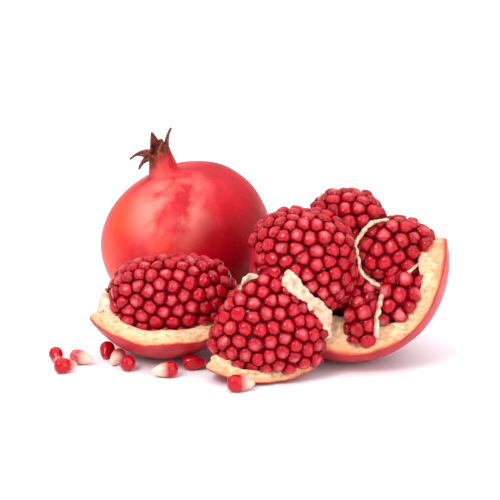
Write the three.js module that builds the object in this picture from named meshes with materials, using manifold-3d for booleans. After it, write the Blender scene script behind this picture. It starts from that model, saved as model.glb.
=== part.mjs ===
// A pomegranate served whole and broken open: one whole fruit with its crown, a second fruit
// pulled apart into an open half and two wedges with their arils still in them, and a few
// loose arils. Millimetres, +Z up, +X along the row, -Y towards the person it is served to.
// The origin is the middle of the small flat spot that the whole fruit stands on.

import * as THREE from "three";
import { mergeVertices } from "three/addons/utils/BufferGeometryUtils.js";
import Module from "manifold-3d";

const wasm = await Module();
wasm.setup();

// ---------------------------------------------------------------- driving dimensions

const ARIL_WIDTH = 7.6;      // across one aril, and so the pitch of the packed ones
const ARIL_BUMP = 1.3;       // how far one aril's end stands out of a packed mass
const GAP = 0.35;            // left between two pieces that touch

const fruit = {
  equator: 46.6,             // greatest radius, about the core
  pole: 40,                  // centre to the upper end of the core
  base: 43.5,                // centre to the lower end
  squareness: 2.3,           // 2 is an ellipse, more is boxier at the shoulders
  lobes: 6,
  lobeDepth: 0.5,
  centreHeight: 43.2,        // the skin below the table line is the flat resting spot
  leanLeft: 26,              // degrees that the core leans
  leanForward: 5,
};

// The crown grows from the shoulder beside the core's end and bends back towards upright.
const crown = {
  seat: 36.5,                // centre of the fruit to the bottom of the neck
  seatLean: 17,              // degrees left of upright, seen from the centre
  lean: 11,                  // degrees left of upright that the neck itself points
  neckRadius: 8.8,
  rimRadius: 5.6,
  height: 19,
  wall: 1.2,
  cupDepth: 7.5,
};

// Each dried sepal of the crown: the way it points, the height on the neck where it parts
// from it, its length and width, and how far it leans out and then curls over that length.
const sepals = [
  { around: 15, foot: 19, length: 10.4, width: 3.4, lean: 8, curl: 42 },
  { around: 70, foot: 19, length: 2.6, width: 4.6, lean: 2, curl: 10 },
  { around: 118, foot: 19, length: 7.4, width: 6.0, lean: -6, curl: 8 },
  { around: 185, foot: 15.4, length: 12.0, width: 3.2, lean: 52, curl: 80 },
  { around: 228, foot: 12.4, length: 13.0, width: 3.4, lean: 40, curl: 104 },
  { around: 300, foot: 19, length: 2.8, width: 5.4, lean: 0, curl: 10 },
];

// Each broken piece of rind is a shell that stands on its own outer skin. Its torn edge lies
// at an angle from the lowest point: at the front, at its two ends and at the back. The outline
// between them is a superellipse, with one squareness for the front and one for the back.
const leftWedge = {
  place: [-9, -67], turn: 11, tilt: 0, radius: 46, wall: 8.8,
  front: 49, ends: 58, back: 37, squareness: [2, 2], tear: 2.0, seed: 1.3,
};
const frontWedge = {
  place: [41, -102.6], turn: 15, tilt: 0, radius: 62, wall: 6.2,
  front: 14.5, ends: 27.5, back: 14, squareness: [3.2, 2.2], tear: 1.2, seed: 4.1,
};
const openHalf = {
  place: [85, -72], turn: 0, tilt: 38, radius: 51, wall: 9.6,
  front: 76, ends: 111, back: 63, squareness: [2.2, 1.4], tear: 1.4, seed: 2.2,
};
const EDGE_CLEARANCE = 1.2;  // degrees left clear beyond a torn edge
const REST_FLAT = 0.5;       // how much of a round rind the table presses flat
const FACE_TILT = 75;        // the open half's broken face leans back 15 degrees from upright
const FACE_OUT = 21;         // from that fruit's centre out to its broken face

// ---------------------------------------------------------------- small helpers

const radians = THREE.MathUtils.degToRad;

/** The closed solid of a geometry, for cutting and joining. */
function toSolid(geometry) {
  const bare = new THREE.BufferGeometry()
    .setAttribute("position", geometry.getAttribute("position").clone())
    .setIndex(geometry.index);
  const merged = mergeVertices(bare, 1e-4);
  return new wasm.Manifold(new wasm.Mesh({
    numProp: 3,
    vertProperties: new Float32Array(merged.attributes.position.array),
    triVerts: new Uint32Array(merged.index.array),
  }));
}

/** The geometry of a solid, flat shaded. */
function toGeometry(solid) {
  const mesh = solid.getMesh();
  const geometry = new THREE.BufferGeometry()
    .setAttribute("position", new THREE.BufferAttribute(new Float32Array(mesh.vertProperties), 3))
    .setIndex(new THREE.BufferAttribute(new Uint32Array(mesh.triVerts), 1));
  geometry.computeVertexNormals();
  return geometry;
}

/** The largest of the pieces that a cut leaves. */
function largest(solid) {
  return solid.decompose().sort((a, b) => b.volume() - a.volume())[0];
}

/** Moves every vertex of a geometry to where `move` sends it. */
function warp(geometry, move) {
  const position = geometry.getAttribute("position");
  const point = new THREE.Vector3();
  for (let i = 0; i < position.count; i += 1) {
    point.fromBufferAttribute(position, i);
    move(point);
    position.setXYZ(i, point.x, point.y, point.z);
  }
  position.needsUpdate = true;
  return geometry;
}

/** A geometry placed by a matrix made from degrees and millimetres. */
function placed(geometry, { turn = 0, tilt = 0, lean = 0, at = [0, 0, 0] }) {
  const rotation = new THREE.Euler(radians(tilt), radians(lean), radians(turn), "ZYX");
  const matrix = new THREE.Matrix4().makeRotationFromEuler(rotation).setPosition(...at);
  return geometry.clone().applyMatrix4(matrix);
}

/** A box that fills everything below the table, for pressing a flat spot. */
function belowTable() {
  return toSolid(new THREE.BoxGeometry(600, 600, 60).translate(0, 0, -30));
}

/** A superellipse radius in the direction (across, along) with the two half axes. */
function superRadius(across, along, halfAcross, halfAlong, power) {
  const sum = (Math.abs(across) / halfAcross) ** power + (Math.abs(along) / halfAlong) ** power;
  return sum ** (-1 / power);
}

// ---------------------------------------------------------------- finishes

const finish = (color, roughness) => new THREE.MeshStandardMaterial({ color, roughness, metalness: 0 });
const skinFinish = finish(0xc4202f, 0.35);
const pithFinish = finish(0xf0d2a0, 0.75);
const membraneFinish = finish(0xeed9b8, 0.6);
const arilFinish = finish(0x9c0f22, 0.2);

const pomegranate = new THREE.Group();

/** Adds one named piece to the part. */
function addPiece(name, solid, material) {
  const mesh = new THREE.Mesh(toGeometry(solid), material);
  mesh.name = name;
  pomegranate.add(mesh);
}

// ---------------------------------------------------------------- the whole fruit

/** The fruit's body: a squat, faintly lobed ball about the Z axis. */
function fruitBody() {
  const half = new THREE.EllipseCurve(0, 0, 1, 1, -Math.PI / 2, Math.PI / 2);
  const ball = new THREE.LatheGeometry(half.getPoints(18), 30).rotateX(Math.PI / 2);
  return warp(ball, (p) => {
    const across = Math.hypot(p.x, p.y);
    const around = Math.atan2(p.y, p.x);
    const lobe = fruit.lobeDepth * across ** 2 * Math.cos(fruit.lobes * around);
    const pole = p.z > 0 ? fruit.pole : fruit.base;
    const radius = superRadius(across, p.z, fruit.equator, pole, fruit.squareness);
    p.multiplyScalar((radius + lobe) / Math.max(p.length(), 1e-9));
  });
}

/** The neck's outer radius at a height above its seat. */
function neckRadiusAt(z) {
  const rise = THREE.MathUtils.clamp(z / crown.height, -0.15, 1);
  const flare = 2.4 * Math.max(0, 0.12 - rise) / 0.27;
  const taper = THREE.MathUtils.smoothstep(rise, 0, 1);
  return THREE.MathUtils.lerp(crown.neckRadius, crown.rimRadius, taper) + flare;
}

/** The crown's neck: a tapering tube with a cup in its open end. */
function crownNeck() {
  const { height, rimRadius, wall, cupDepth } = crown;
  const outside = [-3, 0, 2.4, 6.5, 10, 13, 16, height].map((z) => [neckRadiusAt(z), z]);
  const cup = [
    [rimRadius - wall, height], [rimRadius - wall - 0.6, height - 0.5 * cupDepth], [0, height - cupDepth],
  ];
  const profile = [[0, -3], ...outside, ...cup].map(([r, z]) => new THREE.Vector2(r, z));
  return new THREE.LatheGeometry(profile, 18).rotateX(Math.PI / 2);
}

/** One sepal: a tapering blade that starts in the neck's wall and curls outwards. */
function sepal({ around, foot, length, width, lean, curl }) {
  const steps = 6;
  const thick = 1.8;
  const blade = new THREE.CylinderGeometry(0.2, 0.5, 1, 6, steps).rotateX(Math.PI / 2);
  warp(blade, (p) => {
    const along = p.z + 0.5;
    const angle = radians(lean + curl * along);
    const bend = radians(lean + 0.5 * curl * along);
    const reach = length * along;
    const outward = p.x * thick;
    const side = p.y * width;
    p.set(
      reach * Math.sin(bend) + outward * Math.cos(angle),
      side,
      reach * Math.cos(bend) - outward * Math.sin(angle) - 1.2,
    );
  });
  blade.translate(neckRadiusAt(foot) - 0.6 * crown.wall, 0, foot);
  return blade.rotateZ(radians(around));
}

function wholeFruit() {
  let crownSolid = toSolid(crownNeck());
  for (const one of sepals) crownSolid = crownSolid.add(toSolid(sepal(one)));
  const at = [
    -crown.seat * Math.sin(radians(crown.seatLean)),
    -crown.seat * Math.sin(radians(fruit.leanForward)),
    fruit.centreHeight + crown.seat * Math.cos(radians(crown.seatLean)),
  ];
  const crownPlace = { lean: -crown.lean, tilt: fruit.leanForward, at };
  const bodyPlace = { lean: -fruit.leanLeft, tilt: fruit.leanForward, at: [0, 0, fruit.centreHeight] };
  const body = toSolid(placed(fruitBody(), bodyPlace));
  const topped = body.add(toSolid(placed(toGeometry(crownSolid), crownPlace)));
  return largest(topped.subtract(belowTable()));
}

// ---------------------------------------------------------------- broken rind

/** The angle from the lowest point to the torn edge, in degrees, by the way round. */
function tornEdge(piece, around) {
  const { front, ends, back, squareness, tear, seed } = piece;
  const isFront = Math.cos(around) > 0;
  const [near, power] = isFront ? [front, squareness[0]] : [back, squareness[1]];
  const even = superRadius(Math.sin(around), Math.cos(around), ends, near, power);
  return even + tear * (0.6 * Math.sin(5 * around + seed) + 0.4 * Math.sin(9 * around + 2 * seed));
}

/**
 * A shell of rind about its own centre: a half ball with its lowest point at -Z, whose edge is
 * drawn up or down to the torn edge. `grow` thickens the wall, for cutting a clearance.
 */
function rindShell(piece, segments, steps, grow = 0) {
  const outer = new THREE.EllipseCurve(0, 0, 1, 1, -Math.PI / 2, 0).getPoints(steps);
  const inner = outer.map((p) => p.clone().multiplyScalar(0.5)).reverse();
  const shell = new THREE.LatheGeometry([...outer, ...inner], segments).rotateX(Math.PI / 2);
  return warp(shell, (p) => {
    const isInner = p.length() < 0.75;
    const around = Math.atan2(p.x, -p.y);
    const share = Math.atan2(Math.hypot(p.x, p.y), -p.z) / (Math.PI / 2);
    const edge = tornEdge(piece, around) + (grow > 0 ? EDGE_CLEARANCE : 0);
    const polar = radians(share * edge);
    const radius = isInner ? piece.radius - piece.wall - grow : piece.radius + grow;
    p.set(
      radius * Math.sin(polar) * Math.sin(around),
      -radius * Math.sin(polar) * Math.cos(around),
      -radius * Math.cos(polar),
    );
  });
}

/** Where a broken piece stands: turned on the table, tilted back, and pressed onto it. */
function standing(piece) {
  const height = piece.radius - REST_FLAT;
  return { turn: piece.turn, tilt: piece.tilt, at: [...piece.place, height] };
}

// ---------------------------------------------------------------- masses of arils

/**
 * A block of packed arils: a rounded, squarish blob with one bump for each aril of its skin.
 * `size` is width, depth and height; `taper` narrows it towards the top. `grow` gives the same
 * blob without bumps, that much outside them, for cutting a clearance.
 */
function arilMass(mass, grow = 0) {
  const { size, at, squareness, taper = 0, turn = 0, tilt = 0, lean = 0, detail } = mass;
  const [w, d, h] = size.map((s) => s / 2 + (grow > 0 ? ARIL_BUMP + grow : 0));
  const ball = new THREE.IcosahedronGeometry(1, detail);
  ball.deleteAttribute("normal");
  ball.deleteAttribute("uv");
  const blob = mergeVertices(ball, 1e-5);
  const tips = [];
  warp(blob, (p) => {
    const outwards = p.clone();
    const across = Math.hypot(p.x, p.y);
    const corner = superRadius(p.x / Math.max(across, 1e-9), p.y / Math.max(across, 1e-9), 1, 1, squareness);
    p.multiplyScalar(superRadius(across, p.z, corner, 1, squareness));
    const narrow = 1 - taper * p.z;
    p.set(p.x * w * narrow, p.y * d * narrow, p.z * h);
    if (grow === 0 && tips.every((tip) => tip.distanceTo(p) > 0.8 * ARIL_WIDTH)) {
      tips.push(p.clone());
      p.addScaledVector(outwards, ARIL_BUMP);
    }
  });
  return placed(blob, { turn, tilt, lean, at });
}

const leftArils = {
  at: [-4.5, -69.5, 30.5], size: [61, 39, 41], squareness: 2.7, turn: 9, tilt: -4, detail: 6,
};
const frontArils = {
  at: [44.5, -102.5, 28], size: [50, 28, 49], squareness: 2.3, taper: 0.4, turn: 8, tilt: -10, lean: 5,
  detail: 6,
};

// The open half's masses lie in the frame of its broken face, about the fruit's own centre:
// X across the face, Y up it, and Z out of it.
const openHalfArils = {
  left: { at: [-23.2, 0.2, 4.5], size: [50, 49, 54], squareness: 3.1, detail: 6 },
  top: { at: [-0.5, 17, -8], size: [35, 36.5, 36], squareness: 2.8, detail: 4 },
  upper_right: { at: [22.6, 5, -3.5], size: [38.5, 32.5, 38], squareness: 3.0, lean: 8, detail: 4 },
  lower_right: { at: [27, -17.5, 4.5], size: [39, 25, 30], squareness: 2.8, turn: 38, detail: 4 },
  centre: { at: [5.5, -8, 3], size: [16, 29, 25], squareness: 2.8, detail: 3 },
  bottom: { at: [6, -30, 12], size: [15, 26, 24], squareness: 2.8, detail: 2 },
  back: { at: [-3, -3, -18], size: [78, 50, 48], squareness: 2.4, detail: 5 },
};

// ---------------------------------------------------------------- membranes

const MEMBRANE_THICKNESS = 1.4;

/**
 * A membrane: a thin wall that follows the curve `plan` and stands from `bottom` up to an edge
 * that passes through `tops`. `inward` is how far its upper edge leans to the left of the curve.
 */
function membrane({ plan, tops, bottom, inward = 0 }, grow = 0) {
  const route = new THREE.CatmullRomCurve3(plan.map(([x, y]) => new THREE.Vector3(x, y, 0)));
  const edge = new THREE.SplineCurve(tops.map((height, i) => new THREE.Vector2(i, height)));
  const wall = new THREE.BoxGeometry(1, 1, 1, 3 * (plan.length - 1), 1, 2);
  return warp(wall, (p) => {
    const along = p.x + 0.5;
    const rise = p.z + 0.5;
    const foot = route.getPoint(along);
    const ahead = route.getTangent(along);
    const beyond = Math.abs(p.x) > 0.499 ? Math.sign(p.x) * grow : 0;
    const aside = p.y * (MEMBRANE_THICKNESS + 2 * grow) + inward * rise ** 2;
    const height = THREE.MathUtils.lerp(bottom - grow, edge.getPoint(along).y + grow, rise);
    p.set(foot.x + ahead.x * beyond - ahead.y * aside, foot.y + ahead.y * beyond + ahead.x * aside, height);
  });
}

// The flap of pith at the left wedge's end.
const leftMembrane = {
  plan: [[-36, -87], [-41, -80], [-43.5, -71], [-42.5, -62]],
  tops: [25, 31, 37, 33], bottom: 12, inward: -5,
};

// What is left of the membranes along the top of the front wedge.
const frontMembranes = {
  left: {
    plan: [[26.5, -103], [30, -101.5], [34, -100.5], [38.5, -100]], tops: [42, 49, 53.5, 51], bottom: 30,
    inward: -3,
  },
  right: {
    plan: [[50.5, -105.5], [54, -106.5], [58, -107], [63, -106.5], [69, -104.5], [74.5, -102.5]],
    tops: [51, 57, 52.5, 45.5, 41.5, 33], bottom: 20,
  },
};

// The open half's membranes run across its broken face and back into the fruit.
const openHalfMembranes = {
  middle: {
    plan: [[19, 21], [11, 20], [5.5, 14], [2, 8], [3.5, 0], [8.5, -8], [16, -13.5]],
    tops: [10, 15, 18, 19, 18, 17, 16], bottom: -10,
  },
  side: {
    plan: [[18.5, -13], [25, -8.5], [32, -2.5], [39.5, 2.5]], tops: [15, 17, 16, 12], bottom: -8,
  },
  bottom: {
    plan: [[15.5, -16.5], [13.6, -23], [12.4, -29], [13.4, -36]], tops: [20, 24, 26, 24], bottom: 0,
  },
};

/** Carries a geometry from the broken face's frame to where the open half stands. */
function onOpenFace(geometry) {
  const at = [...openHalf.place, openHalf.radius - REST_FLAT];
  return placed(geometry, { tilt: FACE_TILT, at });
}

// ---------------------------------------------------------------- loose arils

/** One aril: a blunt, faceted drop along X, with its pointed end at -X. */
function aril(length, width) {
  const half = length / 2;
  const profile = [
    [0, -half], [0.34 * width / 2, -0.86 * half], [0.86 * width / 2, -0.1 * half],
    [width / 2, 0.42 * half], [0.72 * width / 2, 0.86 * half], [0, half],
  ].map(([r, along]) => new THREE.Vector2(r, along));
  return new THREE.LatheGeometry(profile, 8).rotateZ(-Math.PI / 2);
}

// Each loose aril on the table: where it lies, the way its blunt end points and how it tips.
const looseArils = [
  { at: [-63.7, -80], turn: 110, rise: 25, length: 10.2, width: 8.0 },
  { at: [-57.5, -97], turn: 200, rise: 4, length: 12.2, width: 8.6 },
  { at: [-50.6, -84.5], turn: 155, rise: 3, length: 12.8, width: 8.4 },
  { at: [-38.8, -72.6], turn: 80, rise: 30, length: 10.6, width: 8.6 },
  { at: [-32.8, -83.6], turn: 60, rise: 20, length: 11.0, width: 8.2 },
  { at: [-27.2, -92.6], turn: 290, rise: 25, length: 10.6, width: 8.8 },
  { at: [-7.6, -104.6], turn: 12, rise: 3, length: 13.6, width: 8.8 },
  { at: [6.8, -92.6], turn: 176, rise: 3, length: 12.6, width: 8.6 },
  { at: [30.4, -125.6], turn: 190, rise: 4, length: 14.0, width: 9.4 },
];

/** A loose aril set down so that its lowest side is pressed a little flat on the table. */
function restingAril({ at, turn, rise, length, width }) {
  const lying = placed(aril(length, width), { lean: -rise, turn });
  lying.computeBoundingBox();
  const lift = -lying.boundingBox.min.z - 0.25;
  return largest(toSolid(lying.translate(at[0], at[1], lift)).subtract(belowTable()));
}

// ---------------------------------------------------------------- assembly

// How finely each rind is faceted: round its edge, and from its lowest point to that edge.
const rindFacets = { left: [30, 7], front: [26, 4], open: [36, 10] };

const table = belowTable();
const clearRind = (piece, facets) => toSolid(placed(rindShell(piece, ...facets, GAP), standing(piece)));
const restingRind = (piece, facets) => largest(
  toSolid(placed(rindShell(piece, ...facets), standing(piece))).subtract(table),
);

addPiece("whole_fruit", wholeFruit(), skinFinish);
addPiece("left_wedge_rind", restingRind(leftWedge, rindFacets.left), pithFinish);
addPiece("open_half_rind", restingRind(openHalf, rindFacets.open), pithFinish);

/** The part of the open half's ball behind its broken face, which the front wedge keeps out of. */
function openHalfBall() {
  const ball = toSolid(new THREE.SphereGeometry(openHalf.radius + GAP, 40, 20));
  const behindFace = toSolid(new THREE.BoxGeometry(200, 200, 100).translate(0, 0, FACE_OUT - 50));
  const kept = toGeometry(ball.intersect(behindFace));
  return toSolid(onOpenFace(kept));
}
const ball = openHalfBall();

// The left wedge: arils cut to the rind, then the flap of pith cut to both.
const leftClear = clearRind(leftWedge, rindFacets.left);
addPiece("left_wedge_arils", largest(toSolid(arilMass(leftArils)).subtract(leftClear)), arilFinish);
const leftTaken = leftClear.add(toSolid(arilMass(leftArils, GAP)));
const leftFlap = toSolid(membrane(leftMembrane)).subtract(leftTaken);
addPiece("left_wedge_membrane", largest(leftFlap), membraneFinish);

// The front wedge leans against the open half's broken face.
const openClear = clearRind(openHalf, rindFacets.open);
const frontClear = clearRind(frontWedge, rindFacets.front).add(openClear);
addPiece(
  "front_wedge_rind",
  largest(restingRind(frontWedge, rindFacets.front).subtract(ball).subtract(openClear)),
  pithFinish,
);
const frontMass = toSolid(arilMass(frontArils)).subtract(frontClear).subtract(ball);
addPiece("front_wedge_arils", largest(frontMass), arilFinish);
let taken = openClear.add(toSolid(arilMass(frontArils, GAP)));
for (const [name, wall] of Object.entries(frontMembranes)) {
  const solid = toSolid(membrane(wall)).subtract(taken).subtract(frontClear);
  addPiece(`front_wedge_membrane_${name}`, largest(solid), membraneFinish);
  taken = taken.add(toSolid(membrane(wall, GAP)));
}

// The open half: each membrane is cut to the rind, and each mass of arils to everything
// that is placed before it.
for (const [name, wall] of Object.entries(openHalfMembranes)) {
  const solid = toSolid(onOpenFace(membrane(wall)));
  addPiece(`open_half_membrane_${name}`, largest(solid.subtract(taken)), membraneFinish);
  taken = taken.add(toSolid(onOpenFace(membrane(wall, GAP))));
}
for (const [name, mass] of Object.entries(openHalfArils)) {
  const solid = toSolid(onOpenFace(arilMass(mass)));
  addPiece(`open_half_arils_${name}`, largest(solid.subtract(taken)), arilFinish);
  taken = taken.add(toSolid(onOpenFace(arilMass(mass, GAP))));
}

looseArils.forEach((one, i) => addPiece(`loose_aril_${i + 1}`, restingAril(one), arilFinish));

export default pomegranate;
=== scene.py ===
# %% [markdown]
# # A pomegranate, whole and broken open
# We rebuild a serving of pomegranate: one whole fruit with its crown, a second fruit pulled
# apart into an open half and two wedges, and a few loose arils. The CAD model already says
# how large every piece is and where it rests, so this lesson adds only what the eye needs:
# real skin, torn pith, thin membranes, and hundreds of juicy arils packed side by side.

# %% Load the fixed frame
import math

import bpy
import numpy as np
from mathutils import Matrix, Vector, noise
from mathutils.bvhtree import BVHTree
from mathutils.kdtree import KDTree


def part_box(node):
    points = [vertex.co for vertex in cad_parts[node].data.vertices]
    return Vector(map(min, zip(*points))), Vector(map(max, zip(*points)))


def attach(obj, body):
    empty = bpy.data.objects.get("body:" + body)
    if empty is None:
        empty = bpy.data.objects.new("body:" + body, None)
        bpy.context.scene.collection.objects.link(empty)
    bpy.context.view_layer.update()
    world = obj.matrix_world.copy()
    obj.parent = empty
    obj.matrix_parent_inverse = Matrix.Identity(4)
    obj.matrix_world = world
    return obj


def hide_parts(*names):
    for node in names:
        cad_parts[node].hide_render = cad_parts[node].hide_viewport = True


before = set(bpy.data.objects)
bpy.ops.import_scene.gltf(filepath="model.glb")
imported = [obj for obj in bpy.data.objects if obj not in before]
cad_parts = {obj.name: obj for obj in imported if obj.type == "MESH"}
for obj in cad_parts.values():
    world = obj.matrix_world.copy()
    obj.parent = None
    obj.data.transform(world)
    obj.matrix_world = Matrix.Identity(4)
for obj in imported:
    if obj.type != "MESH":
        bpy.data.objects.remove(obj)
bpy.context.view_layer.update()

MM = 0.001
BODY = "root"

# %% [markdown]
# ## The camera
# The serving is seen from a metre away and a little above, as on a table in front of us. A
# long lens keeps the two fruits in proportion. The camera is made first, so that every
# render shows the same picture.

# %% Camera
LOOK_AT = Vector((34.8, -35.0, 47.0)) * MM
CAMERA_DISTANCE = 1000 * MM
CAMERA_ELEVATION = math.radians(15)
LENS_MM = 136.8

towards_camera = Vector((0, -math.cos(CAMERA_ELEVATION), math.sin(CAMERA_ELEVATION)))
camera_data = bpy.data.cameras.new("table_camera")
camera_data.lens = LENS_MM
camera_data.sensor_width = 36
camera = bpy.data.objects.new("table_camera", camera_data)
camera.location = LOOK_AT + towards_camera * CAMERA_DISTANCE
camera.rotation_euler = towards_camera.to_track_quat("Z", "Y").to_euler()
bpy.context.scene.collection.objects.link(camera)
bpy.context.scene.camera = camera
print("camera at", [round(c, 3) for c in camera.location])

# %% [markdown]
# ## Small tools for meshes
# Each piece below starts as a copy of its CAD solid or as a primitive. The copy's loose
# triangles are merged first. Numbers about the surface, such as where the skin ends and the
# pith begins, are stored as attributes on the mesh, and the materials read them from there.

# %% Mesh helpers
def select_only(piece):
    """Makes one object the selected and active one, for the operators."""
    bpy.ops.object.select_all(action="DESELECT")
    piece.select_set(True)
    bpy.context.view_layer.objects.active = piece


def edit_all(piece, *operators):
    """Runs edit-mode operators on the whole of a piece."""
    select_only(piece)
    bpy.ops.object.mode_set(mode="EDIT")
    bpy.ops.mesh.select_all(action="SELECT")
    for operator, settings in operators:
        operator(**settings)
    bpy.ops.object.mode_set(mode="OBJECT")


def copy_of(node, name):
    """A merged copy of a CAD node, as a new object of ours."""
    piece = bpy.data.objects.new(name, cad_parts[node].data.copy())
    piece.data.materials.clear()
    bpy.context.scene.collection.objects.link(piece)
    edit_all(piece, (bpy.ops.mesh.remove_doubles, {"threshold": 0.002 * MM}))
    return piece


def points_of(piece):
    """Every vertex of a piece, as rows of x, y, z in metres."""
    flat = np.empty(3 * len(piece.data.vertices))
    piece.data.vertices.foreach_get("co", flat)
    return flat.reshape(-1, 3)


def normals_of(piece):
    """Every vertex normal of a piece, as rows."""
    flat = np.empty(3 * len(piece.data.vertices), dtype=np.float32)
    piece.data.vertex_normals.foreach_get("vector", flat)
    return flat.reshape(-1, 3).astype(float)


def move_points(piece, points):
    """Puts every vertex of a piece at its row of x, y, z."""
    piece.data.vertices.foreach_set("co", points.ravel())
    piece.data.update()


def remember(piece, name, values):
    """Stores one number for each vertex, for the material to read."""
    attribute = piece.data.attributes.new(name, "FLOAT", "POINT")
    attribute.data.foreach_set("value", np.asarray(values, dtype=np.float32))


def smooth_step(low, high, values):
    """0 below `low`, 1 above `high` and a smooth ramp between them."""
    share = np.clip((values - low) / (high - low), 0, 1)
    return share * share * (3 - 2 * share)


def ripple(points, size, seed=0.0, octaves=3):
    """Fractal noise from about -1 to 1 at each point; `size` is its largest feature."""
    shift = Vector((seed, 2.3 * seed, -1.7 * seed))
    return np.array([
        noise.fractal(Vector(p) / size + shift, 0.6, 2.0, octaves) for p in points
    ])


def finished(piece, slot, material, *nodes):
    """Shades a piece smooth, gives it its material and body and hides the CAD nodes that it replaces;
    `slot` is not used.
    """
    piece.data.materials.clear()
    piece.data.materials.append(material)
    piece.data.polygons.foreach_set("use_smooth", np.ones(len(piece.data.polygons), dtype=bool))
    piece.data.update()
    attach(piece, BODY)
    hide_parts(*nodes)
    print(piece.name, len(piece.data.polygons), "faces")

# %% [markdown]
# ## Small tools for materials
# A material is a small network of nodes. One function turns the sRGB hex colours that we
# pick into the linear numbers that the renderer needs, and one adds any node.

# %% Material helpers
def colour(hex_code):
    """An sRGB hex colour as linear RGBA."""
    channels = [int(hex_code[i:i + 2], 16) / 255 for i in (1, 3, 5)]
    linear = [c / 12.92 if c <= 0.04045 else ((c + 0.055) / 1.055) ** 2.4 for c in channels]
    return (*linear, 1.0)


def add_node(tree, kind, settings=None, **inputs):
    """Adds a node. `settings` are its properties; inputs are values or other nodes' sockets."""
    node = tree.nodes.new(kind)
    for key, value in (settings or {}).items():
        setattr(node, key, value)
    for key, value in inputs.items():
        socket = node.inputs[int(key[1:])] if key[0] == "_" else node.inputs[key.replace("_", " ")]
        if isinstance(value, bpy.types.NodeSocket):
            tree.links.new(value, socket)
        else:
            socket.default_value = value
    return node


def new_material(name):
    """An empty material: its node tree and its Principled shader."""
    material = bpy.data.materials.new(name)
    material.use_nodes = True
    return material, material.node_tree, material.node_tree.nodes["Principled BSDF"]


def ramp(tree, factor, *stops):
    """A colour ramp: each stop is a place from 0 to 1 and a hex colour."""
    node = add_node(tree, "ShaderNodeValToRGB", _0=factor)
    elements = node.color_ramp.elements
    while len(elements) < len(stops):
        elements.new(1.0)
    for element, (place, hex_code) in zip(elements, stops):
        element.position = place
        element.color = colour(hex_code)
    return node.outputs["Color"]


def mixed(tree, factor, first, second):
    """Mixes two colours; each is a hex code or a socket."""
    node = add_node(tree, "ShaderNodeMix", {"data_type": "RGBA"}, _0=factor)
    for place, value in ((6, first), (7, second)):
        if isinstance(value, bpy.types.NodeSocket):
            tree.links.new(value, node.inputs[place])
        else:
            node.inputs[place].default_value = colour(value)
    return node.outputs[2]


def attribute(tree, name):
    """A number stored on the mesh."""
    return add_node(tree, "ShaderNodeAttribute", {"attribute_name": name}).outputs["Fac"]


def grain(tree, size_mm, detail=3.0, stretch=(1, 1, 1)):
    """Noise from 0 to 1 in object space, with features of about that size."""
    place = add_node(tree, "ShaderNodeTexCoord").outputs["Object"]
    scaled = add_node(tree, "ShaderNodeMapping", Vector=place, Scale=stretch).outputs["Vector"]
    node = add_node(tree, "ShaderNodeTexNoise", Vector=scaled, Scale=1 / (size_mm * MM), Detail=detail)
    return node.outputs["Fac"]


def bump(tree, shader, height, depth_mm, strength=1.0):
    """Feeds a height pattern to a shader as relief of that depth."""
    node = add_node(tree, "ShaderNodeBump", Height=height, Distance=depth_mm * MM, Strength=strength)
    tree.links.new(node.outputs["Normal"], shader.inputs["Normal"])

# %% [markdown]
# ## Skin, pith, membrane and aril finishes
# Pomegranate skin is waxy and leathery: a broad soft shine over colour that runs from
# orange-red on the left to crimson on the right, with tiny pale pores. A paler patch below
# the crown is a painted highlight where the left soft box's broad reflection falls. Where
# the fruit is torn, the eye sees a thin red line of skin, then orange-tinted fibres, then
# cream pith that dries to light brown in its hollows.

# %% Finish: ripe skin of the whole fruit
HIGHLIGHT_CENTRE = (-8 * MM, -29 * MM, 69 * MM)    # the painted highlight below the crown, where the left soft box reflects
HIGHLIGHT_SHAPE = (1.0, 1.0, 0.65)                 # it is taller than it is wide


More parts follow.
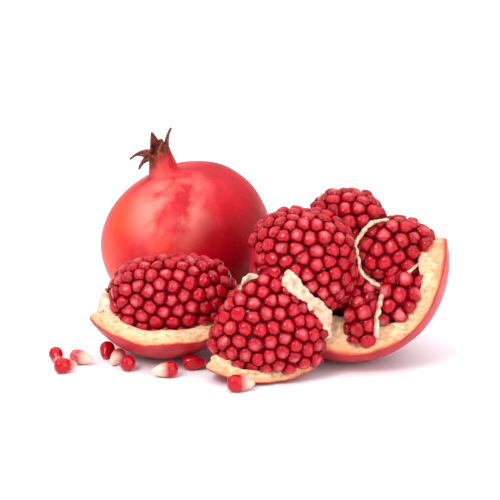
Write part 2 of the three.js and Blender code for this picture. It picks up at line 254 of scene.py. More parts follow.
def waxy_skin():
    """Ripe pomegranate skin, grown: leathery and waxed by nature, so it shines softly."""
    material, tree, shader = new_material("waxy_pomegranate_skin")
    place = add_node(tree, "ShaderNodeTexCoord").outputs["Object"]
    sides = add_node(tree, "ShaderNodeSeparateXYZ", Vector=place)
    across = add_node(
        tree, "ShaderNodeMapRange", Value=sides.outputs["X"], From_Min=-46 * MM, From_Max=38 * MM,
    ).outputs["Result"]
    wander = add_node(
        tree, "ShaderNodeMath", {"operation": "MULTIPLY_ADD"},
        _0=grain(tree, 26, 5.0, (1, 1, 0.55)), _1=2.2, _2=-1.1,
    ).outputs[0]
    # The skin's colour runs from orange-red on the left to deep crimson on the right, wandering with
    # noise.
    left_to_right = add_node(tree, "ShaderNodeMath", {"operation": "ADD"}, _0=across, _1=wander).outputs[0]
    flesh = ramp(
        tree, left_to_right, (0.0, "#e63e1c"), (0.28, "#da2c28"), (0.48, "#c60c26"), (0.64, "#b4001a"),
        (1.0, "#9a0012"),
    )
    # Painted highlight: the skin is mixed towards pale pink in a patchy spot below the crown, where the
    # left soft box's broad reflection falls.
    squat = add_node(tree, "ShaderNodeVectorMath", {"operation": "MULTIPLY"}, _0=place, _1=HIGHLIGHT_SHAPE)
    centre = [along * shape for along, shape in zip(HIGHLIGHT_CENTRE, HIGHLIGHT_SHAPE)]
    from_highlight = add_node(
        tree, "ShaderNodeVectorMath", {"operation": "DISTANCE"}, _0=squat.outputs["Vector"], _1=centre,
    ).outputs["Value"]
    highlight_spot = add_node(
        tree, "ShaderNodeMapRange", {"interpolation_type": "SMOOTHSTEP"}, Value=from_highlight,
        From_Min=28 * MM, From_Max=11 * MM, To_Max=1.0,
    ).outputs["Result"]
    patchy_highlight = add_node(
        tree, "ShaderNodeMath", {"operation": "MULTIPLY", "use_clamp": True},
        _0=highlight_spot, _1=ramp(tree, grain(tree, 18, 5.0, (1, 1, 0.6)), (0.38, "#303030"), (0.56, "#ffffff")),
    ).outputs[0]
    flesh = mixed(tree, patchy_highlight, flesh, "#ee7c70")
    pores = ramp(tree, grain(tree, 1.5, 2.0), (0.6, "#000000"), (0.76, "#4a4a4a"))
    speckled = mixed(tree, pores, flesh, "#ee8c6c")
    dried = attribute(tree, "dried")
    brown = ramp(tree, grain(tree, 2.5, 4.0), (0.3, "#35130f"), (0.5, "#6a2a20"), (0.72, "#96523a"))
    tree.links.new(mixed(tree, dried, speckled, brown), shader.inputs["Base Color"])
    rough = add_node(
        tree, "ShaderNodeMapRange", Value=dried, To_Min=0.4, To_Max=0.7,
    ).outputs["Result"]
    tree.links.new(rough, shader.inputs["Roughness"])
    shader.inputs["Specular IOR Level"].default_value = 0.14
    shader.inputs["Coat Weight"].default_value = 0.08
    shader.inputs["Coat Roughness"].default_value = 0.25
    shader.inputs["Subsurface Weight"].default_value = 0.06
    shader.inputs["Subsurface Radius"].default_value = (3 * MM, 0.8 * MM, 0.5 * MM)
    shader.inputs["Subsurface Scale"].default_value = 1.0
    bump(tree, shader, grain(tree, 2.2, 4.0), 0.25, 0.35)
    return material


SKIN = waxy_skin()

# %% Finish: broken rind
def torn_rind():
    """Broken rind: red skin outside, moist cream pith inside, orange fibres next to the skin."""
    material, tree, shader = new_material("torn_pomegranate_rind")
    skin = attribute(tree, "skin")
    depth = attribute(tree, "depth")
    red = ramp(tree, grain(tree, 14, 4.0), (0.3, "#9c0a1e"), (0.5, "#ba1a2e"), (0.72, "#cc4038"))
    fibres = ramp(
        tree, grain(tree, 3.0, 5.0, (1, 1, 2.4)), (0.25, "#b67c4c"), (0.42, "#d8ac80"), (0.6, "#e6c6a4"),
    )
    near_skin = ramp(tree, depth, (0.0, "#ffffff"), (0.22, "#b8b8b8"), (0.6, "#000000"))
    pith = mixed(tree, near_skin, fibres, "#d8864e")
    hollow = ramp(tree, depth, (0.9, "#000000"), (1.0, "#8c8c8c"))
    cream = mixed(tree, hollow, pith, ramp(tree, grain(tree, 6, 3.0), (0.3, "#a8703a"), (0.65, "#e6c48c")))
    tree.links.new(mixed(tree, skin, cream, red), shader.inputs["Base Color"])
    rough = add_node(tree, "ShaderNodeMapRange", Value=skin, To_Min=0.62, To_Max=0.36).outputs["Result"]
    shader.inputs["Specular IOR Level"].default_value = 0.25
    tree.links.new(rough, shader.inputs["Roughness"])
    shader.inputs["Subsurface Weight"].default_value = 0.15
    shader.inputs["Subsurface Radius"].default_value = (2.5 * MM, 1.2 * MM, 0.6 * MM)
    shader.inputs["Subsurface Scale"].default_value = 1.0
    bump(tree, shader, grain(tree, 1.8, 5.0, (1, 1, 2.0)), 0.5, 0.5)
    return material


RIND = torn_rind()

# %% Finish: membrane
def papery_membrane():
    """The membrane between chambers: moist, paper thin and fibrous, cream with tan edges."""
    material, tree, shader = new_material("papery_membrane")
    tone = ramp(tree, grain(tree, 4, 4.0), (0.3, "#b87858"), (0.46, "#dab498"), (0.66, "#ecd4bc"))
    tree.links.new(tone, shader.inputs["Base Color"])
    shader.inputs["Roughness"].default_value = 0.5
    shader.inputs["Subsurface Weight"].default_value = 0.3
    shader.inputs["Subsurface Radius"].default_value = (2.5 * MM, 1.5 * MM, 1.0 * MM)
    shader.inputs["Subsurface Scale"].default_value = 1.0
    bump(tree, shader, grain(tree, 1.2, 4.0, (1, 1, 0.4)), 0.3, 0.5)
    return material


MEMBRANE = papery_membrane()

# %% [markdown]
# An aril is a bead of clear red juice in a skin as thin as film, around one pale seed. On
# the packed arils the sides are painted deep crimson, as shade where each aril presses
# against its neighbours, and the blunt end brighter red, as painted light on its top; the
# pale pink patch at its very tip is partly the seed showing through and partly a painted
# highlight. Wet film gives it a sharp highlight.

# %% Finish: arils
def juicy_aril(name, deep, bright, core):
    """Aril flesh: red juice in a wet film, from `deep` to `bright` along `end` (painted shade at a packed
    aril's sides) and pale at the tip, the seed showing through plus a painted highlight.
    """
    material, tree, shader = new_material(name)
    end = attribute(tree, "end")
    tint = attribute(tree, "tint")
    milky = attribute(tree, "milky")
    # On packed arils `end` is painted shade at the sides and painted light on the dome's top; on loose
    # arils it is the real red blunt end against the pale pointed one.
    lit_top_and_red_end = add_node(tree, "ShaderNodeMath", {"operation": "MULTIPLY"}, _0=end, _1=1.1).outputs[0]
    ripe = add_node(
        tree, "ShaderNodeMath", {"operation": "MULTIPLY_ADD", "use_clamp": True}, _0=tint, _1=0.4, _2=lit_top_and_red_end,
    ).outputs[0]
    flesh = mixed(tree, ripe, deep, bright)
    # The pale tip patch is partly the seed showing through and partly a painted highlight.
    blunt = add_node(tree, "ShaderNodeMath", {"operation": "POWER"}, _0=end, _1=3.0).outputs[0]
    seed = add_node(tree, "ShaderNodeMath", {"operation": "MULTIPLY"}, _0=blunt, _1=milky).outputs[0]
    uneven = add_node(
        tree, "ShaderNodeMath", {"operation": "MULTIPLY_ADD"}, _0=grain(tree, 2.2, 2.0), _1=1.2, _2=0.4,
    ).outputs[0]
    cloud = add_node(tree, "ShaderNodeMath", {"operation": "MULTIPLY"}, _0=seed, _1=uneven).outputs[0]
    pale = add_node(tree, "ShaderNodeMapRange", Value=cloud, From_Min=0.16, From_Max=0.9, To_Max=0.7)
    tree.links.new(mixed(tree, pale.outputs["Result"], flesh, core), shader.inputs["Base Color"])
    shader.inputs["Roughness"].default_value = 0.12
    shader.inputs["IOR"].default_value = 1.38
    shader.inputs["Specular IOR Level"].default_value = 0.5
    shader.inputs["Subsurface Weight"].default_value = 0.3
    shader.inputs["Subsurface Radius"].default_value = (3.5 * MM, 0.3 * MM, 0.3 * MM)
    shader.inputs["Subsurface Scale"].default_value = 1.0
    return material


PACKED_ARIL = juicy_aril("packed_aril_flesh", "#8a0010", "#b6001c", "#c47c84")
LOOSE_ARIL = juicy_aril("loose_aril_flesh", "#eec8b4", "#b4001a", "#e8888e")

# %% [markdown]
# ## The whole fruit
# The fruit grew as one piece, so it is one mesh: a sphere whose rings are pulled into shape.
# The top rings become the crown, starting in the middle of its cup, up the inside of the
# wall, out along each dried sepal and back, and down the neck. The other rings are
# pushed out until they meet the CAD solid, and then evened, which takes away its facets.

# %% Whole fruit: measure the CAD solid
def surface_tree(piece):
    """A search tree of a mesh, to find where a ray meets it or which of its points is nearest."""
    points = [Vector(p) for p in points_of(piece)]
    return BVHTree.FromPolygons(points, [tuple(face.vertices) for face in piece.data.polygons])


fruit_low, fruit_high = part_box("whole_fruit")
FRUIT_CENTRE = Vector((0, 0, 43.2 * MM))
SEAT_LEAN = math.radians(17)      # the crown's place, left of upright from the centre
CROWN_LEAN = math.radians(11)     # the way that the neck points
FORWARD_LEAN = math.radians(5)
SEAT_DISTANCE = 36.5 * MM
SEGMENTS = 120
BODY_RINGS = 70


def leaning(left, forward):
    """A turn that tips upright things to the left and forward by these angles."""
    return Matrix.Rotation(-left, 3, "Y") @ Matrix.Rotation(forward, 3, "X")


crown_turn = leaning(CROWN_LEAN, FORWARD_LEAN)
crown_seat = FRUIT_CENTRE + SEAT_DISTANCE * Vector((
    -math.sin(SEAT_LEAN), -math.sin(FORWARD_LEAN), math.cos(SEAT_LEAN),
))
print("whole fruit", [round(c / MM, 1) for c in fruit_high - fruit_low], "mm")

# %% Whole fruit: the crown's neck and sepals
# Each sepal: the way it points in degrees, the height in mm where it parts from the neck, its
# length in mm, half its width at the foot in degrees of the rim, and the angles from upright
# that it starts and ends at.
SEPALS = (
    (15, 19.0, 9.3, 27, 8, 44),
    (70, 19.0, 2.6, 26, 2, 12),
    (118, 19.0, 7.4, 40, -6, 2),
    (185, 15.4, 12.0, 26, 52, 130),
    (228, 12.4, 13.0, 26, 40, 142),
    (300, 19.0, 2.8, 30, 0, 10),
)
NECK_HEIGHT, NECK_RADIUS, RIM_RADIUS, NECK_WALL, CUP_FLOOR = 19.0, 8.8, 5.6, 1.2, 11.3


def angle_between(first, second):
    """The angle in degrees between two headings in degrees, whichever way round is shorter."""
    return abs((first - second + 180) % 360 - 180)


def neck_radius(height):
    """The neck's outer radius in mm at a height above its seat."""
    rise = min(max(height / NECK_HEIGHT, -0.15), 1)
    flare = 2.4 * max(0, 0.12 - rise) / 0.27
    return NECK_RADIUS + (RIM_RADIUS - NECK_RADIUS) * smooth_step(0, 1, rise) + flare


def rim_height(around_deg):
    """The height in mm of the crown's rim, which dips where a sepal parts low down."""
    dips = [
        (NECK_HEIGHT - sepal[1]) * (1 - smooth_step(0.35, 1, angle_between(around_deg, sepal[0]) / 38))
        for sepal in SEPALS
    ]
    return NECK_HEIGHT - max(dips)


def sepal_reach(around_deg):
    """How far in mm the rim grows out at this angle, and the sepal that it grows into."""
    best = (0.5, SEPALS[0])
    for sepal in SEPALS:
        off = angle_between(around_deg, sepal[0]) / sepal[3]
        reach = sepal[2] * (1 - off ** 2.4) if off < 1 else 0.0
        if reach > best[0]:
            best = (reach, sepal)
    return best


def along_sepal(sepal, distance):
    """How far out and up in mm a sepal has curled after this distance, and its angle there."""
    length, start, end = sepal[2], sepal[4], sepal[5]
    out = up = 0.0
    steps = 8
    for i in range(steps):
        angle = math.radians(start + (end - start) * (i + 0.5) / steps * distance / length)
        out += math.sin(angle) * distance / steps
        up += math.cos(angle) * distance / steps
    return out, up, math.radians(start + (end - start) * distance / length)

# %% Whole fruit: where each ring of the crown goes
CUP = ((0.0, 0.0), (0.45, 0.0), (0.8, 0.06), (0.95, 0.3), (1.0, 0.65), (1.0, 0.95))
NECK = (0.97, 0.88, 0.76, 0.63, 0.5, 0.36, 0.23, 0.1, -0.02)
BLADE_STEPS = 7
BLADE_THICKNESS = 1.5


def heading_vector(angle):
    """A unit vector across the crown at this angle."""
    return Vector((math.cos(angle), math.sin(angle), 0))


def blade_point(around, share, side):
    """A point in mm of a sepal: `share` of the way to its tip, inside (-1) or outside (1)."""
    around_deg = math.degrees(around) % 360
    reach, sepal = sepal_reach(around_deg)
    distance = reach * (0.06 + 0.94 * share)
    out, up, angle = along_sepal(sepal, distance)
    thickness = BLADE_THICKNESS * (1.1 - 0.45 * share)
    out += 0.5 * side * thickness * math.cos(angle)
    up -= 0.5 * side * thickness * math.sin(angle)
    rim = rim_height(around_deg)
    radius = neck_radius(rim) - 0.5 * NECK_WALL
    heading = heading_vector(math.radians(sepal[0]))
    aside = heading_vector(around) * radius - heading * radius
    point = heading * (radius + out) + aside * (1 - 0.55 * distance / sepal[2])
    point.z = rim + up - 0.4
    return point


def crown_point(ring, around):
    """Where a vertex of the crown goes, by its ring from the cup's middle and its angle."""
    rim = rim_height(math.degrees(around) % 360)
    if ring < len(CUP):
        across, rise = CUP[ring]
        height = CUP_FLOOR + rise * (rim - CUP_FLOOR)
        point = heading_vector(around) * across * (neck_radius(height) - NECK_WALL)
        point.z = height
    elif ring < len(CUP) + BLADE_STEPS:
        point = blade_point(around, (ring - len(CUP)) / (BLADE_STEPS - 1), -1)
    elif ring < len(CUP) + 2 * BLADE_STEPS:
        step = ring - len(CUP) - BLADE_STEPS
        point = blade_point(around, 1 - step / (BLADE_STEPS - 1), 1)
    else:
        height = NECK[ring - len(CUP) - 2 * BLADE_STEPS] * rim
        point = heading_vector(around) * neck_radius(height)
        point.z = height
    return crown_seat + crown_turn @ (point * MM)


CROWN_RINGS = len(CUP) + 2 * BLADE_STEPS + len(NECK)
RINGS = CROWN_RINGS + BODY_RINGS
print("crown of", CROWN_RINGS, "rings on a body of", BODY_RINGS)

# %% Whole fruit: build it from one sphere
bpy.ops.object.select_all(action="DESELECT")
bpy.ops.mesh.primitive_uv_sphere_add(segments=SEGMENTS, ring_count=RINGS, radius=1, location=(0, 0, 0))
whole_fruit = bpy.context.object
whole_fruit.name = "whole_fruit_grown"

unit = points_of(whole_fruit)
ring_of = np.rint(np.arccos(np.clip(unit[:, 2], -1, 1)) / math.pi * RINGS).astype(int)
around_of = np.arctan2(unit[:, 1], unit[:, 0])
column_of = np.rint(around_of / (2 * math.pi) * SEGMENTS).astype(int) % SEGMENTS
index_at = np.zeros((RINGS + 1, SEGMENTS), dtype=int)
for index, (ring, column) in enumerate(zip(ring_of, column_of)):
    if ring in (0, RINGS):
        index_at[ring, :] = index
    else:
        index_at[ring, column] = index

FIRST_POLAR = math.radians(19.5)    # where the body's rings start, at the neck's foot
EVENING_PASSES = 14                 # enough to take away the CAD solid's facets
seat_turn = Vector((0, 0, 1)).rotation_difference(crown_seat - FRUIT_CENTRE).to_matrix()
solid = surface_tree(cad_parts["whole_fruit"])


def body_direction(row, column):
    """The direction from the fruit's centre to a vertex of the body."""
    polar = FIRST_POLAR + (math.pi - FIRST_POLAR) * row / BODY_RINGS
    around = 2 * math.pi * column / SEGMENTS
    return seat_turn @ Vector((
        math.sin(polar) * math.cos(around), math.sin(polar) * math.sin(around), math.cos(polar),
    ))


radii = np.array([
    [solid.ray_cast(FRUIT_CENTRE, body_direction(row, column))[3] for column in range(SEGMENTS)]
    for row in range(BODY_RINGS + 1)
])
for _ in range(EVENING_PASSES):
    beside = (np.roll(radii, 1, axis=1) + np.roll(radii, -1, axis=1)) / 2
    above = np.vstack([radii[:1], radii[:-1]])
    below = np.vstack([radii[1:], radii[-1:]])
    radii = 0.25 * radii + 0.375 * beside + 0.1875 * (above + below)
radii[BODY_RINGS, :] = radii[BODY_RINGS].mean()
print("body radius from", round(radii.min() / MM, 1), "to", round(radii.max() / MM, 1), "mm")

# %% Whole fruit: move every vertex to its place
DENT_DEPTH = 0.45 * MM
JOIN_PASSES = 12                                          # how softly the neck flows into the body
JOIN_RINGS = range(CROWN_RINGS - 2, CROWN_RINGS + 5)

grown = np.zeros_like(unit)
dried = np.zeros(len(unit))
for index, (ring, column, around) in enumerate(zip(ring_of, column_of, around_of)):
    if ring < CROWN_RINGS:
        grown[index] = crown_point(ring, around)
        dried[index] = 1.0
        if ring >= len(CUP) + 2 * BLADE_STEPS:
            dried[index] = smooth_step(0.5, 0.95, NECK[ring - len(CUP) - 2 * BLADE_STEPS])
    else:
        direction = body_direction(ring - CROWN_RINGS, column)
        dent = DENT_DEPTH * noise.noise(direction * 2.6 + Vector((3, 1, 7)))
        grown[index] = FRUIT_CENTRE + direction * (radii[ring - CROWN_RINGS, column] + dent)

for _ in range(JOIN_PASSES):
    before = grown[index_at]
    for ring in JOIN_RINGS:
        grown[index_at[ring]] = 0.4 * before[ring] + 0.3 * (before[ring - 1] + before[ring + 1])
grown[:, 2] = np.maximum(grown[:, 2], 0)
move_points(whole_fruit, grown)
edit_all(whole_fruit, (bpy.ops.mesh.normals_make_consistent, {"inside": False}))
remember(whole_fruit, "dried", dried)
finished(whole_fruit, "fruit_skin", SKIN, "whole_fruit")

# %% [markdown]
# ## Broken rind
# A torn piece of rind is a shell with three kinds of surface: smooth waxy skin, a torn edge
# with fibres and crumbs, and an inner wall with a shallow dimple for each aril that sat in
# it. We copy the CAD shell, cut it finely, find its ball's centre, and then move each point
# by the kind of surface that it lies on.

# %% Broken rind: shape
LUMP_SIZE, LUMP_DEPTH = 22 * MM, 0.25 * MM          # the skin's broad unevenness
SOCKET_SIZE, SOCKET_DEPTH = 6.5 * MM, 0.9 * MM      # the dimples that arils leave in the pith
TEAR_REACH = 2.5 * MM                               # how far from the torn edge the wall is pulled
LAYER_SIZE = 2.4 * MM                               # thickness of the layers that a tear shows


def ball_of(points):
    """The centre and radius of the ball that a shell's outer points lie on, by least squares."""
    keep = points
    for _ in range(6):
        rows = np.hstack([2 * keep, np.ones((len(keep), 1))])
        answer = np.linalg.lstsq(rows, (keep ** 2).sum(1), rcond=None)[0]
        centre = answer[:3]
        radius = math.sqrt(answer[3] + centre @ centre)
        distance = np.linalg.norm(points - centre, axis=1)
        keep = points[distance > radius - 0.15 * MM]
    return centre, radius


def broken_rind(node, name, wall_mm, cuts, seed, pads=()):
    """A rind with smooth skin, a dimpled inner wall, thicker pads of pith and a torn edge."""
    piece = copy_of(node, name)
    centre, radius = ball_of(points_of(piece))
    edit_all(
        piece,
        (bpy.ops.mesh.subdivide, {"number_cuts": cuts}),
        (bpy.ops.mesh.quads_convert_to_tris, {}),
        (bpy.ops.mesh.tris_convert_to_quads, {}),
    )
    points = points_of(piece)
    outward = points - centre
    distance = np.linalg.norm(outward, axis=1)
    outward /= distance[:, None]
    inner_radius = radius - wall_mm * MM
    depth = np.clip((radius - distance) / (wall_mm * MM), 0, 1)
    is_flat = points[:, 2] < 0.05 * MM
    normals = normals_of(piece)
    facing = (normals * outward).sum(1)
    is_skin = (facing > 0.5) & (depth < 0.3) & ~is_flat
    is_inner = (facing < -0.5) & (depth > 0.7)
    is_torn = ~is_skin & ~is_inner & ~is_flat
    new_distance = distance.copy()
    lumps = ripple(points, LUMP_SIZE, seed)
    new_distance[is_skin] = radius + LUMP_DEPTH * (lumps[is_skin] - 1)
    sockets = np.abs(ripple(points, SOCKET_SIZE, seed + 5, 1))
    new_distance[is_inner] = inner_radius + SOCKET_DEPTH * sockets[is_inner] - 0.3 * MM
    for heading, half_angle, thickness in pads:
        away = np.degrees(np.arccos(np.clip(outward @ Vector(heading).normalized(), -1, 1)))
        swell = 1 - smooth_step(0.25 * half_angle, half_angle, away)
        new_distance -= thickness * MM * swell * depth
    torn_rows = np.flatnonzero(is_torn)
    torn_points = KDTree(len(torn_rows))
    for row in torn_rows:
        torn_points.insert(points[row], row)
    torn_points.balance()
    nearest = [torn_points.find(p) for p in points]
    torn_at = np.array([found[1] for found in nearest])
    near_tear = np.exp(-np.array([found[2] for found in nearest]) / TEAR_REACH)
    rags = 1.4 * ripple(points[torn_at], 11 * MM, seed + 3, 2)
    rags += 0.7 * ripple(points[torn_at], 3.5 * MM, seed + 9, 3)
    points = centre + outward * new_distance[:, None]
    points += normals[torn_at] * (rags * near_tear * MM)[:, None]
    crumbs = ripple(points, 2.6 * MM, seed + 12, 4)
    across_wall = np.outer(depth, (0, 0, wall_mm * MM))
    layers = ripple(0.22 * radius * outward + across_wall, LAYER_SIZE, seed + 20, 2)
    rough = (0.45 * crumbs + 0.8 * layers) * MM
    points[is_torn] += normals[is_torn] * rough[is_torn, None]
    points[:, 2] = np.maximum(points[:, 2], 0)
    move_points(piece, points)
    remember(piece, "skin", (is_skin | is_flat).astype(float))
    remember(piece, "depth", depth)
    finished(piece, "rind", RIND, node)
    return centre, radius

# %% Broken rind: the three pieces
# Pads of thicker pith: the way each lies from the ball's centre, how wide it is in degrees,
# and how thick in mm. Membranes grow out of them.
LEFT_WEDGE_PADS = (((0.72, -0.5, -0.48), 18, 4), ((-0.74, -0.4, -0.54), 18, 3))
FRONT_WEDGE_PADS = (((-0.34, -0.2, -0.92), 10, 3.5), ((0.32, -0.12, -0.94), 9, 3))
OPEN_HALF_PADS = (
    ((-0.2, -0.64, -0.76), 24, 11), ((0.94, -0.28, 0.14), 24, 4.5), ((0.35, -0.62, -0.7), 16, 3.5),
)

for node, name, wall_mm, cuts, seed, pads in (
    ("left_wedge_rind", "left_wedge_broken_rind", 8.8, 5, 1.0, LEFT_WEDGE_PADS),
    ("front_wedge_rind", "front_wedge_broken_rind", 6.2, 5, 2.0, FRONT_WEDGE_PADS),
    ("open_half_rind", "open_half_broken_rind", 9.6, 5, 3.0, OPEN_HALF_PADS),
):
    centre, radius = broken_rind(node, name, wall_mm, cuts, seed, pads)
    print(node, "lies on a ball of radius", round(radius / MM, 1), "mm")

# %% [markdown]
# ## Membranes
# Between the chambers stands a wall of membrane no thicker than a fingernail, and thinner
# still where it is torn. Each is a copy of its CAD wall, cut finely, rounded and crinkled.

# %% Membranes: shape
def crinkled(node, seed):
    """A membrane: the CAD wall with rounded edges and crinkles."""
    piece = copy_of(node, node + "_torn")
    edit_all(
        piece,
        (bpy.ops.mesh.subdivide, {"number_cuts": 4}),
        (bpy.ops.mesh.vertices_smooth, {"factor": 0.5, "repeat": 4}),
    )
    points = points_of(piece)
    waves = ripple(points, 8 * MM, seed, 3)
    across = normals_of(piece)
    points += across * ((0.25 + 0.7 * ripple(points, 3.5 * MM, seed + 4, 2)) * MM)[:, None]
    points += np.array([1.1, 0.4, 1.0]) * MM * waves[:, None]
    move_points(piece, points)
    finished(piece, "membrane", MEMBRANE, node)


MEMBRANE_NODES = sorted(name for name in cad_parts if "membrane" in name)
for number, node in enumerate(MEMBRANE_NODES):
    crinkled(node, 10.0 + number)

# %% [markdown]
# ## Packed arils
# Arils grow squeezed together, so each one takes the shape that its neighbours leave: a
# rounded polygon with a blunt, domed end. We spread points evenly over each CAD mass, and
# at each point shape a copy of one small bead: its width in every direction goes half way
# to the neighbour on that side, or as far as the rind or membrane there.

# %% Packed arils: spread points over a mass
PITCH = 6.9 * MM           # from one aril to the next
DOME = 2.8 * MM            # the blunt end above the mass's even surface
ROOT = 4.5 * MM            # how far an aril's sides reach down between its neighbours
CORE_DEPTH = 3.2 * MM      # how far below that surface the mass shows as one core, in the deep side colour as painted shade between the arils
CLOSEST = 0.76 * PITCH     # the first points are never nearer to each other than this
PUSH_REACH = 1.25 * PITCH  # and then push each other apart within this
PUSH_SHARE = 0.18
SPREADING_PASSES = 18
TRIES_PER_ARIL = 50
DRAW = np.random.default_rng(7)


def evened(node):
    """A copy of a CAD mass with its bumps smoothed away, only to measure."""
    piece = copy_of(node, node + "_even")
    edit_all(
        piece,
        (bpy.ops.mesh.subdivide, {"number_cuts": 1}),
        (bpy.ops.mesh.vertices_smooth, {"factor": 0.5, "repeat": 14}),
    )
    return piece


def spread(piece, tree):
    """Points about one pitch apart all over a mesh, and the normals there."""
    points = points_of(piece)
    normals = normals_of(piece)
    piece.data.calc_loop_triangles()
    corners = np.array([tuple(t.vertices) for t in piece.data.loop_triangles])
    a, b, c = (points[corners[:, i]] for i in range(3))
    areas = np.linalg.norm(np.cross(b - a, c - a), axis=1) / 2
    tries = int(TRIES_PER_ARIL * areas.sum() / PITCH ** 2)
    chosen = DRAW.choice(len(corners), size=tries, p=areas / areas.sum())
    u, v = DRAW.random((2, tries))
    flip = u + v > 1
    u[flip], v[flip] = 1 - u[flip], 1 - v[flip]
    candidates = a[chosen] * (1 - u - v)[:, None] + b[chosen] * u[:, None] + c[chosen] * v[:, None]
    kept = np.empty((0, 3))
    for candidate in candidates:
        if len(kept) == 0 or np.min(((kept - candidate) ** 2).sum(1)) > CLOSEST ** 2:
            kept = np.vstack([kept, candidate])
    for _ in range(SPREADING_PASSES):
        apart = kept[:, None] - kept[None]
        itself = np.eye(len(kept))
        far = np.linalg.norm(apart, axis=2) + itself
        push = np.clip(PUSH_REACH - far, 0, None) * (1 - itself)
        kept = kept + PUSH_SHARE * (apart / far[..., None] * push[..., None]).sum(1)
        kept = np.array([tree.find_nearest(Vector(p))[0] for p in kept])
    corner_normals = []
    for p in kept:
        _, _, face, _ = tree.find_nearest(Vector(p))
        corner_normals.append(normals[list(piece.data.polygons[face].vertices)].mean(0))
    corner_normals = np.array(corner_normals)
    return kept, corner_normals / np.linalg.norm(corner_normals, axis=1, keepdims=True)

# %% Packed arils: one bead, copied and squeezed
bpy.ops.object.select_all(action="DESELECT")
bpy.ops.mesh.primitive_uv_sphere_add(segments=10, ring_count=8, radius=1, location=(0, 0, 0))
bead = bpy.context.object
BEAD_POINTS = points_of(bead)
BEAD_FACES = [tuple(face.vertices) for face in bead.data.polygons]
bpy.data.objects.remove(bead)

SIDES = 10
SQUARENESS = 12.0          # how sharply one flat side of an aril meets the next
TILT = 0.17                # how unevenly the arils point
LOWER = np.clip(-BEAD_POINTS[:, 2], 0, None)
UPPER = np.clip(BEAD_POINTS[:, 2], 0, None)
GIRTH = np.hypot(BEAD_POINTS[:, 0], BEAD_POINTS[:, 1])
WIDTH = np.where(BEAD_POINTS[:, 2] > 0, GIRTH ** 0.6, GIRTH * (1 - 0.3 * LOWER))
BEAD_AROUND = np.arctan2(BEAD_POINTS[:, 1], BEAD_POINTS[:, 0])
SIDE_OF = np.rint(BEAD_AROUND / (2 * math.pi) * SIDES).astype(int) % SIDES


def nearest_hit(others, start, heading, reach):
    """How far a ray goes from `start` before it meets one of the other pieces."""
    for other in others:
        hit = other.ray_cast(Vector(start), Vector(heading), reach)
        if hit[0] is not None:
            reach = hit[3]
    return reach


def squeezed_bead(here, normal, neighbours, others, room):
    """The points of one aril at `here`, pressed against its neighbours and the walls."""
    axis = Vector(normal + DRAW.normal(0, TILT, 3)).normalized()
    side = axis.orthogonal().normalized()
    other = axis.cross(side)
    turns = DRAW.uniform(0, 2 * math.pi) + 2 * math.pi * np.arange(SIDES) / SIDES
    headings = np.outer(np.cos(turns), side) + np.outer(np.sin(turns), other)
    limit = np.full(SIDES, (0.7 * PITCH) ** -SQUARENESS)
    for neighbour in neighbours:
        length = np.linalg.norm(neighbour - here)
        along = headings @ ((neighbour - here) / length)
        half_way = 0.5 * length / np.maximum(along, 0.15)
        limit += np.where(along > 0.15, half_way, 1.0) ** -SQUARENESS
    reach = limit ** (-1 / SQUARENESS) - 0.05 * MM
    for i, heading in enumerate(headings):
        met = nearest_hit(others, here + normal * 0.6 * MM, heading, reach[i] + 0.1 * MM)
        reach[i] = max(met - 0.1 * MM, 0.8 * MM)
    dome = min(DOME * DRAW.uniform(0.75, 1.2), room)
    height = UPPER ** 0.85 * dome - LOWER * ROOT + DRAW.normal(0, 0.35) * MM
    return here + headings[SIDE_OF] * (reach[SIDE_OF] * WIDTH)[:, None] + np.outer(height, axis)

# %% Packed arils: fill one chamber
SOLIDS = {name: surface_tree(node) for name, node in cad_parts.items()}


def packed_arils(node, paleness):
    """All the arils of one chamber as one mesh, with a dark core between their roots that is painted
    shade.
    """
    base = evened(node)
    tree = surface_tree(base)
    points, normals = spread(base, tree)
    others = [solid for name, solid in SOLIDS.items() if name != node]
    vertices, faces, ends, tints, milkies = [], [], [], [], []
    buried = 0
    for here, normal in zip(points, normals):
        room = nearest_hit(others, here - normal * 0.5 * MM, normal, 4 * MM) - 0.6 * MM
        if room < 0.8 * MM:
            buried += 1
            continue
        far = np.linalg.norm(points - here, axis=1)
        near = points[(far > 0) & (far < 2.0 * PITCH)]
        first = sum(len(v) for v in vertices)
        vertices.append(squeezed_bead(here, normal, near, others, room))
        faces += [tuple(first + v for v in face) for face in BEAD_FACES]
        # `end`: 1 in the dome's middle, 0 at the sides, where the material paints shade between
        # neighbouring arils.
        ends.append(np.where(BEAD_POINTS[:, 2] > 0, 1 - WIDTH ** 2, 0))
        tints.append(np.full(len(BEAD_POINTS), DRAW.uniform(0, 1)))
        # `milky`: how strong each aril's pale tip is, seed showing through plus painted highlight.
        milkies.append(np.full(len(BEAD_POINTS), DRAW.uniform(0, 1) ** 0.7 * paleness))
    # The core stands for the shaded depths between the arils; with `end` at 0 it takes the deep colour, as
    # painted shade.
    core = points_of(base) - CORE_DEPTH * normals_of(base)
    first = sum(len(v) for v in vertices)
    vertices.append(core)
    faces += [tuple(first + v for v in face.vertices) for face in base.data.polygons]
    for values in (ends, tints, milkies):
        values.append(np.zeros(len(core)))
    mesh = bpy.data.meshes.new(node + "_packed")
    mesh.from_pydata(np.vstack(vertices).tolist(), [], faces)
    piece = bpy.data.objects.new(node + "_packed", mesh)
    bpy.context.scene.collection.objects.link(piece)
    remember(piece, "end", np.concatenate(ends))
    remember(piece, "tint", np.concatenate(tints))
    remember(piece, "milky", np.concatenate(milkies))
    bpy.data.objects.remove(base)
    finished(piece, "arils", PACKED_ARIL, node)
    print(node, len(points) - buried, "arils shown,", buried, "left out against the rind")


# `paleness` scales each chamber's pale tip patch, seed plus painted highlight; the lower right chamber's
# is strongest.
for node in sorted(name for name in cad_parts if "_arils" in name):
    packed_arils(node, 1.9 if node == "open_half_arils_lower_right" else 1.0)

# %% [markdown]
# ## Loose arils
# The loose arils show the whole drop: blunt and red at one end, pale and pointed at the
# other, where it was held. Each is a copy of its CAD drop, rounded by subdivision.

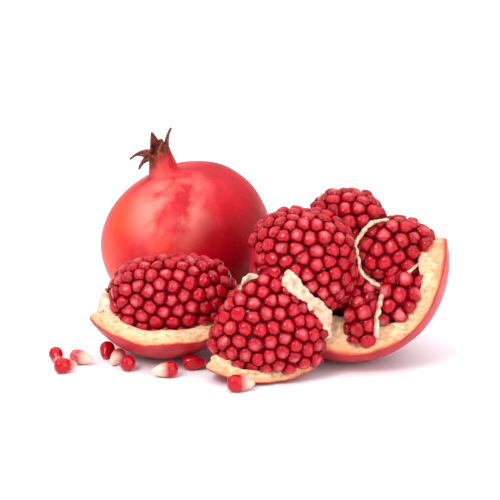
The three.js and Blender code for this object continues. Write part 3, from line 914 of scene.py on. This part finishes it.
# %% Loose arils: shape
def loose_aril(node, pale_share, ripeness, milky):
    """A rounded drop whose pointed end is pale."""
    piece = copy_of(node, node + "_drop")
    before = points_of(piece)
    middle = before.mean(0)
    axis = np.linalg.svd(before - middle)[2][0]
    along = (before - middle) @ axis
    width = np.linalg.norm(before - middle - np.outer(along, axis), axis=1)
    if width[along > 0].max() < width[along < 0].max():
        axis = -axis
    low, high = ((before - middle) @ axis).min(), ((before - middle) @ axis).max()
    rounding = piece.modifiers.new("rounding", "SUBSURF")
    rounding.levels = rounding.render_levels = 2
    select_only(piece)
    bpy.ops.object.modifier_apply(modifier=rounding.name)
    after = points_of(piece)
    after = middle + (after - middle) * 1.05
    after[:, 2] = np.maximum(after[:, 2], 0)
    move_points(piece, after)
    share = ((after - middle) @ axis - low) / (high - low)
    remember(piece, "end", smooth_step(pale_share - 0.2, pale_share + 0.3, share))
    remember(piece, "tint", np.full(len(after), ripeness))
    remember(piece, "milky", np.full(len(after), milky))
    finished(piece, "loose_arils", LOOSE_ARIL, node)

# %% Loose arils: all nine
# How far up each loose aril is pale, how ripe its red is, and how strong the pale patch at its blunt tip
# is: the seed showing through plus a painted highlight.
LOOSE = (
    (0.2, 0.7, 0.1), (0.25, 0.4, 0.1), (0.4, 0.1, 0.5), (0.1, 1.6, 0.0), (0.5, 0.0, 0.5),
    (0.1, 1.4, 0.0), (0.42, 0.1, 0.1), (0.1, 1.5, 0.0), (0.36, 0.1, 0.0),
)
for node in sorted(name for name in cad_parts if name.startswith("loose_aril")):
    loose_aril(node, *LOOSE[int(node.split("_")[-1]) - 1])

# %% [markdown]
# ## Table and light
# A plain pale table and a bright, even room. One soft box on the left gives the skin its
# broad shine, a smaller one on the right a second one, and a very large one overhead keeps the
# table white and the shadows soft.

# %% Table
def pale_table():
    """Matt white board."""
    material, tree, shader = new_material("pale_table")
    shader.inputs["Base Color"].default_value = colour("#f5f8fd")
    shader.inputs["Roughness"].default_value = 0.7
    return material


bpy.ops.object.select_all(action="DESELECT")
bpy.ops.mesh.primitive_plane_add(size=12, location=(0, 0, 0))
table = bpy.context.object
table.name = "table"
table.data.materials.append(pale_table())

# %% Light
def soft_box(name, place, size, watts, target=LOOK_AT):
    """A square area light that faces the target."""
    data = bpy.data.lights.new(name, "AREA")
    data.size = size
    data.energy = watts
    light = bpy.data.objects.new(name, data)
    light.location = place
    light.rotation_euler = (Vector(place) - target).to_track_quat("Z", "Y").to_euler()
    bpy.context.scene.collection.objects.link(light)


soft_box("left_soft_box", (-0.5, -0.8, 0.9), 0.45, 8)
soft_box("right_soft_box", (0.8, -0.9, 0.5), 0.8, 5)
soft_box("overhead_soft_box", (0.0, 0.1, 2.6), 5.0, 80, Vector((0.0, 0.1, 0.0)))

world = bpy.data.worlds.new("bright_room")
world.use_nodes = True
world.node_tree.nodes["Background"].inputs["Color"].default_value = colour("#ffffff")
world.node_tree.nodes["Background"].inputs["Strength"].default_value = 0.74
bpy.context.scene.world = world
bpy.context.scene.view_settings.view_transform = "Standard"
